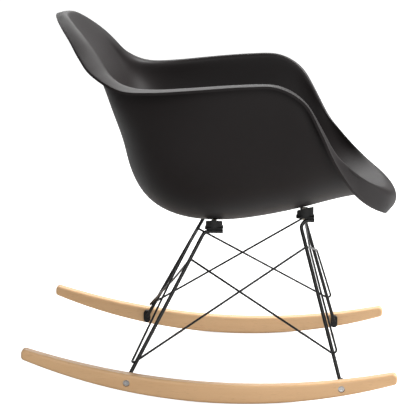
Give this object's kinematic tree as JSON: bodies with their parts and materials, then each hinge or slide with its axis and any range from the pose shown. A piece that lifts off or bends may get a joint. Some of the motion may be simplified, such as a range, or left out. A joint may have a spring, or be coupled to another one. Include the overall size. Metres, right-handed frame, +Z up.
{
  "type": "rocking chair",
  "caption": "Armchair with a moulded bucket seat on a braced steel rod frame and two curved wood rockers.",
  "frame": {"origin": "on the floor, at the middle of the chair's bounding box", "axes": "+X points out of the front of the seat, +Y to the sitter's left, +Z up"},
  "size_m": [0.6897, 0.6142, 0.6893],
  "materials": {
    "seat_plastic": "fine matte",
    "frame_steel": "satin black",
    "mount_rubber": "matte",
    "rocker_wood": "satin lacquer",
    "zinc_fastener": "zinc",
    "bright_fastener": "bright"
  },
  "bodies": {
    "root": {"left_front_brace_wire": "frame_steel", "left_front_foot_lug": "frame_steel", "left_front_leg": "frame_steel", "left_front_mount_plate": "frame_steel", "left_front_rubber_mount": "mount_rubber", "left_rear_brace_wire": "frame_steel", "left_rear_foot_lug": "frame_steel", "left_rear_leg": "frame_steel", "left_rear_mount_plate": "frame_steel", "left_rear_rubber_mount": "mount_rubber", "left_rocker": "rocker_wood", "right_front_brace_wire": "frame_steel", "right_front_foot_lug": "frame_steel", "right_front_leg": "frame_steel", "right_front_mount_plate": "frame_steel", "right_front_rubber_mount": "mount_rubber", "right_rear_brace_wire": "frame_steel", "right_rear_foot_lug": "frame_steel", "right_rear_leg": "frame_steel", "right_rear_mount_plate": "frame_steel", "right_rear_rubber_mount": "mount_rubber", "right_rocker": "rocker_wood", "rocker_bolts": "bright_fastener", "rocker_washers": "bright_fastener", "seat_bolts": "zinc_fastener", "seat_shell": "seat_plastic", "seat_washers": "zinc_fastener", "threaded_inserts": "zinc_fastener"}
  },
  "joints": []
}
